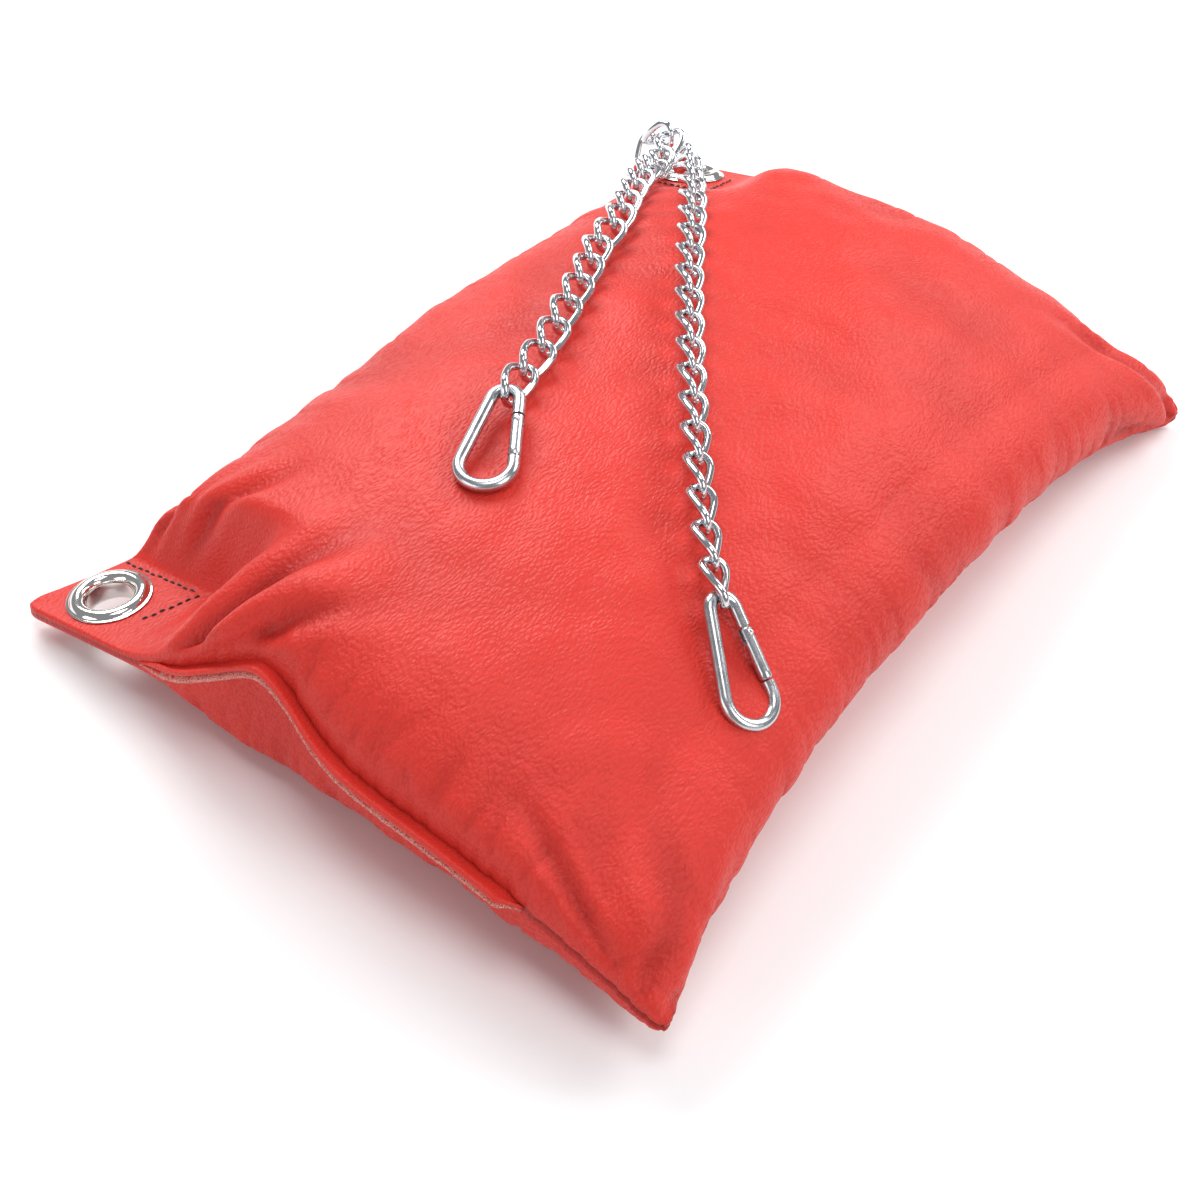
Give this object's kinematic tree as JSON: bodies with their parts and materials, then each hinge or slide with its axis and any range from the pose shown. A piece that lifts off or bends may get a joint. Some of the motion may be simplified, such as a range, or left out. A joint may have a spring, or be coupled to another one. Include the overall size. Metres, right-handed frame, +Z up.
{
  "type": "stuffed leather hanging bag",
  "caption": "Stuffed leather bag with eyeleted corner flaps, hung by a curb chain with a snap hook at each end.",
  "frame": {"origin": "middle of the bounding box, on the surface the bag lies on", "axes": "+X along the short side, +Y along the long side away from the raw closing strip, +Z up"},
  "size_m": [0.3652, 0.537, 0.1293],
  "materials": {
    "red_leather": "satin",
    "leather_allowance": "matte",
    "textile_stuffing": "matte",
    "black_thread": "matte",
    "nickel_plated": "polished",
    "zinc_plated_chain": "satin",
    "zinc_plated_hook": "satin"
  },
  "bodies": {
    "bag": {"chain_link_eyelet": "zinc_plated_chain", "closing_strip": "leather_allowance", "cover_bottom_panel": "red_leather", "cover_top_panel": "red_leather", "far_corner_stitching": "black_thread", "far_eyelet": "nickel_plated", "far_eyelet_washer": "nickel_plated", "near_corner_stitching": "black_thread", "near_eyelet": "nickel_plated", "near_eyelet_washer": "nickel_plated", "stuffing": "textile_stuffing"},
    "chain_right_link_01_body": {"chain_right_link_01": "zinc_plated_chain"},
    "chain_right_link_02_body": {"chain_right_link_02": "zinc_plated_chain"},
    "chain_right_link_03_body": {"chain_right_link_03": "zinc_plated_chain"},
    "chain_right_link_04_body": {"chain_right_link_04": "zinc_plated_chain"},
    "chain_right_link_05_body": {"chain_right_link_05": "zinc_plated_chain"},
    "chain_right_link_06_body": {"chain_right_link_06": "zinc_plated_chain"},
    "chain_right_link_07_body": {"chain_right_link_07": "zinc_plated_chain"},
    "chain_right_link_08_body": {"chain_right_link_08": "zinc_plated_chain"},
    "chain_right_link_09_body": {"chain_right_link_09": "zinc_plated_chain"},
    "chain_right_link_10_body": {"chain_right_link_10": "zinc_plated_chain"},
    "chain_right_link_11_body": {"chain_right_link_11": "zinc_plated_chain"},
    "chain_right_link_12_body": {"chain_right_link_12": "zinc_plated_chain"},
    "chain_right_link_13_body": {"chain_right_link_13": "zinc_plated_chain"},
    "chain_right_link_14_body": {"chain_right_link_14": "zinc_plated_chain"},
    "chain_right_link_15_body": {"chain_right_link_15": "zinc_plated_chain"},
    "chain_right_link_16_body": {"chain_right_link_16": "zinc_plated_chain"},
    "chain_right_link_17_body": {"chain_right_link_17": "zinc_plated_chain"},
    "chain_right_link_18_body": {"chain_right_link_18": "zinc_plated_chain"},
    "chain_right_link_19_body": {"chain_right_link_19": "zinc_plated_chain"},
    "chain_right_link_20_body": {"chain_right_link_20": "zinc_plated_chain"},
    "chain_right_link_21_body": {"chain_right_link_21": "zinc_plated_chain"},
    "chain_left_link_01_body": {"chain_left_link_01": "zinc_plated_chain"},
    "chain_left_link_02_body": {"chain_left_link_02": "zinc_plated_chain"},
    "chain_left_link_03_body": {"chain_left_link_03": "zinc_plated_chain"},
    "chain_left_link_04_body": {"chain_left_link_04": "zinc_plated_chain"},
    "chain_left_link_05_body": {"chain_left_link_05": "zinc_plated_chain"},
    "chain_left_link_06_body": {"chain_left_link_06": "zinc_plated_chain"},
    "chain_left_link_07_body": {"chain_left_link_07": "zinc_plated_chain"},
    "chain_left_link_08_body": {"chain_left_link_08": "zinc_plated_chain"},
    "chain_left_link_09_body": {"chain_left_link_09": "zinc_plated_chain"},
    "chain_left_link_10_body": {"chain_left_link_10": "zinc_plated_chain"},
    "chain_left_link_11_body": {"chain_left_link_11": "zinc_plated_chain"},
    "chain_left_link_12_body": {"chain_left_link_12": "zinc_plated_chain"},
    "chain_left_link_13_body": {"chain_left_link_13": "zinc_plated_chain"},
    "chain_left_link_14_body": {"chain_left_link_14": "zinc_plated_chain"},
    "chain_left_link_15_body": {"chain_left_link_15": "zinc_plated_chain"},
    "chain_left_link_16_body": {"chain_left_link_16": "zinc_plated_chain"},
    "chain_left_link_17_body": {"chain_left_link_17": "zinc_plated_chain"},
    "chain_left_link_18_body": {"chain_left_link_18": "zinc_plated_chain"},
    "chain_left_link_19_body": {"chain_left_link_19": "zinc_plated_chain"},
    "chain_left_link_20_body": {"chain_left_link_20": "zinc_plated_chain"},
    "chain_left_link_21_body": {"chain_left_link_21": "zinc_plated_chain"},
    "chain_left_link_22_body": {"chain_left_link_22": "zinc_plated_chain"},
    "right_hook": {"right_hook_body": "zinc_plated_hook", "right_gate_rivet": "zinc_plated_hook"},
    "right_gate_body": {"right_gate": "zinc_plated_hook"},
    "left_hook": {"left_hook_body": "zinc_plated_hook", "left_gate_rivet": "zinc_plated_hook"},
    "left_gate_body": {"left_gate": "zinc_plated_hook"}
  },
  "joints": [
    {"name": "hinge_chain_right_link_01", "type": "hinge", "parent": "bag", "child": "chain_right_link_01_body", "pos_m": [-0.11856, 0.19491, 0.06843], "axis": [-0.8544, -0.5126, -0.0855], "range_deg": [0, 7]},
    {"name": "hinge_chain_right_link_02", "type": "hinge", "parent": "chain_right_link_01_body", "child": "chain_right_link_02_body", "pos_m": [-0.11196, 0.18252, 0.08126], "axis": [-0.8857, -0.4513, -0.1086], "range_deg": [0, 7]},
    {"name": "hinge_chain_right_link_03", "type": "hinge", "parent": "chain_right_link_02_body", "child": "chain_right_link_03_body", "pos_m": [-0.10423, 0.16523, 0.0835], "axis": [-0.8331, -0.553, -0.0144], "range_deg": [0, 7]},
    {"name": "hinge_chain_right_link_04", "type": "hinge", "parent": "chain_right_link_03_body", "child": "chain_right_link_04_body", "pos_m": [-0.09555, 0.15186, 0.09383], "axis": [-0.8584, -0.5099, 0.0569], "range_deg": [0, 7]},
    {"name": "hinge_chain_right_link_05", "type": "hinge", "parent": "chain_right_link_04_body", "child": "chain_right_link_05_body", "pos_m": [-0.08741, 0.13905, 0.10528], "axis": [-0.8278, -0.5611, -0.0001], "range_deg": [0, 7]},
    {"name": "hinge_chain_right_link_06", "type": "hinge", "parent": "chain_right_link_05_body", "child": "chain_right_link_06_body", "pos_m": [-0.07712, 0.12394, 0.11046], "axis": [-0.8196, -0.5662, -0.0879], "range_deg": [0, 7]},
    {"name": "hinge_chain_right_link_07", "type": "hinge", "parent": "chain_right_link_06_body", "child": "chain_right_link_07_body", "pos_m": [-0.06671, 0.10853, 0.11433], "axis": [-0.8357, -0.5395, -0.1027], "range_deg": [0, 7]},
    {"name": "hinge_chain_right_link_08", "type": "hinge", "parent": "chain_right_link_07_body", "child": "chain_right_link_08_body", "pos_m": [-0.05673, 0.09261, 0.11718], "axis": [-0.845, -0.5296, -0.0748], "range_deg": [0, 7]},
    {"name": "hinge_chain_right_link_09", "type": "hinge", "parent": "chain_right_link_08_body", "child": "chain_right_link_09_body", "pos_m": [-0.04678, 0.07655, 0.11922], "axis": [-0.8531, -0.5192, -0.0517], "range_deg": [0, 7]},
    {"name": "hinge_chain_right_link_10", "type": "hinge", "parent": "chain_right_link_09_body", "child": "chain_right_link_10_body", "pos_m": [-0.03707, 0.06027, 0.12056], "axis": [-0.8424, -0.5379, -0.031], "range_deg": [0, 7]},
    {"name": "hinge_chain_right_link_11", "type": "hinge", "parent": "chain_right_link_10_body", "child": "chain_right_link_11_body", "pos_m": [-0.02694, 0.04422, 0.12137], "axis": [-0.8343, -0.5511, -0.0144], "range_deg": [0, 7]},
    {"name": "hinge_chain_right_link_12", "type": "hinge", "parent": "chain_right_link_11_body", "child": "chain_right_link_12_body", "pos_m": [-0.01652, 0.02833, 0.12172], "axis": [-0.8271, -0.5621, -0.0007], "range_deg": [0, 7]},
    {"name": "hinge_chain_right_link_13", "type": "hinge", "parent": "chain_right_link_12_body", "child": "chain_right_link_13_body", "pos_m": [-0.00589, 0.01259, 0.12167], "axis": [-0.8195, -0.573, 0.0109], "range_deg": [0, 7]},
    {"name": "hinge_chain_right_link_14", "type": "hinge", "parent": "chain_right_link_13_body", "child": "chain_right_link_14_body", "pos_m": [0.00495, -0.00301, 0.12127], "axis": [-0.8121, -0.5832, 0.0213], "range_deg": [0, 7]},
    {"name": "hinge_chain_right_link_15", "type": "hinge", "parent": "chain_right_link_14_body", "child": "chain_right_link_15_body", "pos_m": [0.01598, -0.01847, 0.12055], "axis": [-0.8054, -0.5919, 0.0331], "range_deg": [0, 7]},
    {"name": "hinge_chain_right_link_16", "type": "hinge", "parent": "chain_right_link_15_body", "child": "chain_right_link_16_body", "pos_m": [0.02713, -0.03382, 0.11948], "axis": [-0.7951, -0.6047, 0.0459], "range_deg": [0, 7]},
    {"name": "hinge_chain_right_link_17", "type": "hinge", "parent": "chain_right_link_16_body", "child": "chain_right_link_17_body", "pos_m": [0.03846, -0.049, 0.11803], "axis": [-0.7795, -0.6235, 0.06], "range_deg": [0, 7]},
    {"name": "hinge_chain_right_link_18", "type": "hinge", "parent": "chain_right_link_17_body", "child": "chain_right_link_18_body", "pos_m": [0.05012, -0.06388, 0.11613], "axis": [-0.7658, -0.6385, 0.0769], "range_deg": [0, 7]},
    {"name": "hinge_chain_right_link_19", "type": "hinge", "parent": "chain_right_link_18_body", "child": "chain_right_link_19_body", "pos_m": [0.06197, -0.07854, 0.11371], "axis": [-0.7478, -0.6569, 0.0962], "range_deg": [0, 7]},
    {"name": "hinge_chain_right_link_20", "type": "hinge", "parent": "chain_right_link_19_body", "child": "chain_right_link_20_body", "pos_m": [0.07382, -0.09312, 0.11071], "axis": [-0.6767, -0.7289, 0.1043], "range_deg": [0, 7]},
    {"name": "hinge_chain_right_link_21", "type": "hinge", "parent": "chain_right_link_20_body", "child": "chain_right_link_21_body", "pos_m": [0.08703, -0.10621, 0.10681], "axis": [-0.6368, -0.7605, 0.1267], "range_deg": [0, 7]},
    {"name": "hinge_chain_left_link_01", "type": "hinge", "parent": "bag", "child": "chain_left_link_01_body", "pos_m": [-0.11512, 0.19147, 0.05466], "axis": [-0.4355, -0.8929, 0.1144], "range_deg": [0, 3]},
    {"name": "hinge_chain_left_link_02", "type": "hinge", "parent": "chain_left_link_01_body", "child": "chain_left_link_02_body", "pos_m": [-0.1231, 0.19317, 0.0375], "axis": [-0.4355, -0.8929, 0.1144], "range_deg": [0, 3]},
    {"name": "hinge_chain_left_link_03", "type": "hinge", "parent": "chain_left_link_02_body", "child": "chain_left_link_03_body", "pos_m": [-0.13944, 0.2003, 0.03093], "axis": [-0.4355, -0.8929, 0.1144], "range_deg": [0, 3]},
    {"name": "hinge_chain_left_link_04", "type": "hinge", "parent": "chain_left_link_03_body", "child": "chain_left_link_04_body", "pos_m": [-0.15428, 0.20862, 0.03939], "axis": [-0.4355, -0.8929, 0.1144], "range_deg": [0, 3]},
    {"name": "hinge_chain_left_link_05", "type": "hinge", "parent": "chain_left_link_04_body", "child": "chain_left_link_05_body", "pos_m": [-0.15612, 0.2119, 0.05802], "axis": [-0.4355, -0.8929, 0.1144], "range_deg": [0, 3]},
    {"name": "hinge_chain_left_link_06", "type": "hinge", "parent": "chain_left_link_05_body", "child": "chain_left_link_06_body", "pos_m": [-0.14009, 0.21039, 0.07274], "axis": [-0.8358, -0.2007, -0.511], "range_deg": [0, 6]},
    {"name": "hinge_chain_left_link_07", "type": "hinge", "parent": "chain_left_link_06_body", "child": "chain_left_link_07_body", "pos_m": [-0.13591, 0.19175, 0.07102], "axis": [-0.7822, -0.4475, -0.4335], "range_deg": [0, 6]},
    {"name": "hinge_chain_left_link_08", "type": "hinge", "parent": "chain_left_link_07_body", "child": "chain_left_link_08_body", "pos_m": [-0.128, 0.17468, 0.07379], "axis": [-0.8006, -0.4865, -0.3498], "range_deg": [0, 6]},
    {"name": "hinge_chain_left_link_09", "type": "hinge", "parent": "chain_left_link_08_body", "child": "chain_left_link_09_body", "pos_m": [-0.12124, 0.15818, 0.08039], "axis": [-0.8175, -0.5164, -0.255], "range_deg": [0, 6]},
    {"name": "hinge_chain_left_link_10", "type": "hinge", "parent": "chain_left_link_09_body", "child": "chain_left_link_10_body", "pos_m": [-0.11473, 0.14355, 0.09065], "axis": [-0.8084, -0.4624, -0.3642], "range_deg": [0, 6]},
    {"name": "hinge_chain_left_link_11", "type": "hinge", "parent": "chain_left_link_10_body", "child": "chain_left_link_11_body", "pos_m": [-0.10873, 0.12729, 0.09844], "axis": [-0.8111, -0.431, -0.3954], "range_deg": [0, 6]},
    {"name": "hinge_chain_left_link_12", "type": "hinge", "parent": "chain_left_link_11_body", "child": "chain_left_link_12_body", "pos_m": [-0.10212, 0.1102, 0.10349], "axis": [-0.8366, -0.4304, -0.339], "range_deg": [0, 6]},
    {"name": "hinge_chain_left_link_13", "type": "hinge", "parent": "chain_left_link_12_body", "child": "chain_left_link_13_body", "pos_m": [-0.09521, 0.09305, 0.10784], "axis": [-0.847, -0.4528, -0.2785], "range_deg": [0, 6]},
    {"name": "hinge_chain_left_link_14", "type": "hinge", "parent": "chain_left_link_13_body", "child": "chain_left_link_14_body", "pos_m": [-0.08705, 0.07631, 0.11173], "axis": [-0.8974, -0.3664, -0.2458], "range_deg": [0, 6]},
    {"name": "hinge_chain_left_link_15", "type": "hinge", "parent": "chain_left_link_14_body", "child": "chain_left_link_15_body", "pos_m": [-0.07991, 0.05884, 0.11447], "axis": [-0.9495, -0.2172, -0.2266], "range_deg": [0, 6]},
    {"name": "hinge_chain_left_link_16", "type": "hinge", "parent": "chain_left_link_15_body", "child": "chain_left_link_16_body", "pos_m": [-0.07673, 0.04005, 0.11561], "axis": [-0.9015, -0.3902, -0.1873], "range_deg": [0, 6]},
    {"name": "hinge_chain_left_link_17", "type": "hinge", "parent": "chain_left_link_16_body", "child": "chain_left_link_17_body", "pos_m": [-0.06932, 0.02263, 0.1172], "axis": [-0.9208, -0.3547, -0.1621], "range_deg": [0, 6]},
    {"name": "hinge_chain_left_link_18", "type": "hinge", "parent": "chain_left_link_17_body", "child": "chain_left_link_18_body", "pos_m": [-0.06245, 0.00493, 0.11813], "axis": [-0.9393, -0.3118, -0.1432], "range_deg": [0, 6]},
    {"name": "hinge_chain_left_link_19", "type": "hinge", "parent": "chain_left_link_18_body", "child": "chain_left_link_19_body", "pos_m": [-0.05659, -0.01314, 0.11847], "axis": [-0.9352, -0.33, -0.1282], "range_deg": [0, 6]},
    {"name": "hinge_chain_left_link_20", "type": "hinge", "parent": "chain_left_link_19_body", "child": "chain_left_link_20_body", "pos_m": [-0.05006, -0.03099, 0.11856], "axis": [-0.9525, -0.2815, -0.1158], "range_deg": [0, 6]},
    {"name": "hinge_chain_left_link_21", "type": "hinge", "parent": "chain_left_link_20_body", "child": "chain_left_link_21_body", "pos_m": [-0.04421, -0.04909, 0.11823], "axis": [-0.9769, -0.1857, -0.1054], "range_deg": [0, 6]},
    {"name": "hinge_chain_left_link_22", "type": "hinge", "parent": "chain_left_link_21_body", "child": "chain_left_link_22_body", "pos_m": [-0.04064, -0.06774, 0.11738], "axis": [-0.974, -0.2013, -0.1035], "range_deg": [0, 6]},
    {"name": "right_hook_swing", "type": "hinge", "parent": "chain_right_link_21_body", "child": "right_hook", "pos_m": [0.09976, -0.11762, 0.10222], "axis": [-0.5369, -0.8004, 0.2666], "range_deg": [0, 30]},
    {"name": "right_gate_hinge", "type": "hinge", "parent": "right_hook", "child": "right_gate_body", "pos_m": [0.11613, -0.1197, 0.09204], "axis": [-0.5207, 0.0657, -0.8512], "range_deg": [0, 22], "stiffness_Nm_per_rad": 0.02, "springref_deg": -11.46},
    {"name": "left_hook_swing", "type": "hinge", "parent": "chain_left_link_22_body", "child": "left_hook", "pos_m": [-0.03697, -0.08502, 0.11638], "axis": [-0.9567, -0.2745, -0.0966], "range_deg": [0, 30]},
    {"name": "left_gate_hinge", "type": "hinge", "parent": "left_hook", "child": "left_gate_body", "pos_m": [-0.02274, -0.09804, 0.11437], "axis": [0.0423, 0.1974, -0.9794], "range_deg": [0, 22], "stiffness_Nm_per_rad": 0.02, "springref_deg": -11.46}
  ]
}
